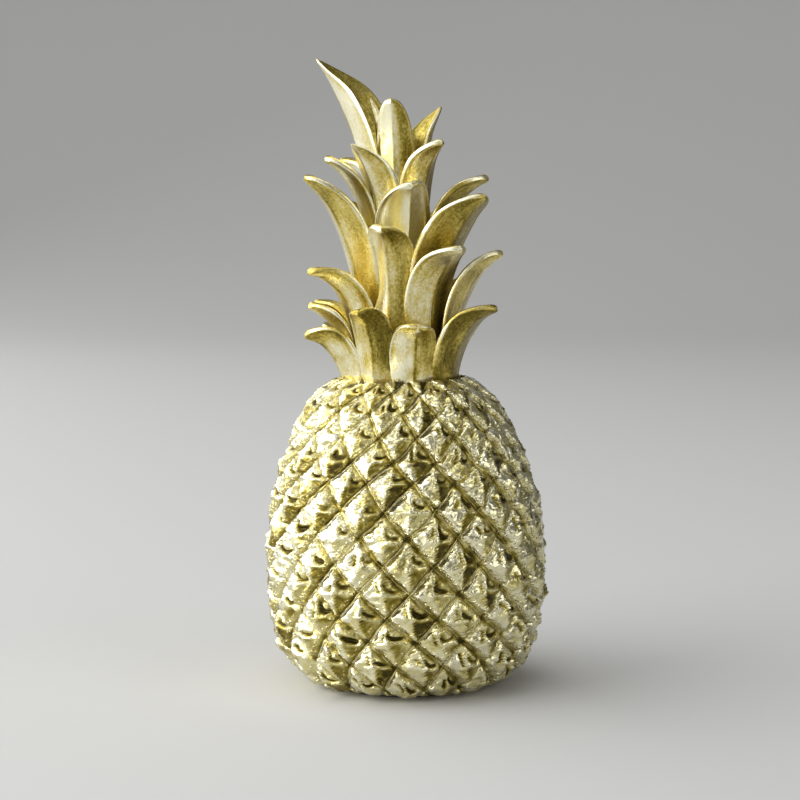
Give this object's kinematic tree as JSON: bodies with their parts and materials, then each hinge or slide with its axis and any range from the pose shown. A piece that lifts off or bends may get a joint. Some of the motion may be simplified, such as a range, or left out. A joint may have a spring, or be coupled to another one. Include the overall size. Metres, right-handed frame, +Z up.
{
  "type": "pineapple figurine",
  "caption": "Free-standing gilded ornament in the form of a pineapple, with a fruit patterned in raised diamonds and an upright crown of curling leaves.",
  "frame": {"origin": "middle of the underside of the felt pad, on the surface that the figurine stands on", "axes": "+Z up along the fruit's axis to the crown's tip, -Y to the side seen in the picture, +X to its right"},
  "size_m": [0.0726, 0.0729, 0.1608],
  "materials": {
    "fruit_gold": "bright pale gold lacquer over cast resin, toned darker in the grooves",
    "leaf_gold": "satin gold lacquer over cast resin, brushed along the leaves",
    "felt": "dark felt"
  },
  "bodies": {
    "root": {"felt_pad": "felt", "fruit_body": "fruit_gold", "crown_stem": "leaf_gold", "leaf_base_front": "leaf_gold", "leaf_base_front_left": "leaf_gold", "leaf_base_right": "leaf_gold", "leaf_base_left": "leaf_gold", "leaf_base_right_back": "leaf_gold", "leaf_base_back_right": "leaf_gold", "leaf_base_back_left": "leaf_gold", "leaf_base_left_back": "leaf_gold", "leaf_second_front_right": "leaf_gold", "leaf_second_front": "leaf_gold", "leaf_second_left": "leaf_gold", "leaf_second_right": "leaf_gold", "leaf_lower_left": "leaf_gold", "leaf_lower_left_back": "leaf_gold", "leaf_second_right_back": "leaf_gold", "leaf_second_back_right": "leaf_gold", "leaf_second_back_left": "leaf_gold", "leaf_second_left_back": "leaf_gold", "leaf_middle_front": "leaf_gold", "leaf_middle_left": "leaf_gold", "leaf_middle_right": "leaf_gold", "leaf_middle_right_back": "leaf_gold", "leaf_middle_back_right": "leaf_gold", "leaf_middle_back": "leaf_gold", "leaf_middle_back_left": "leaf_gold", "leaf_upper_front_left": "leaf_gold", "leaf_upper_front_right": "leaf_gold", "leaf_upper_left": "leaf_gold", "leaf_upper_left_back": "leaf_gold", "leaf_upper_back": "leaf_gold", "leaf_upper_back_left": "leaf_gold", "leaf_top_front": "leaf_gold", "leaf_top_sliver": "leaf_gold", "leaf_top_right": "leaf_gold", "leaf_top_tall": "leaf_gold"}
  },
  "joints": []
}
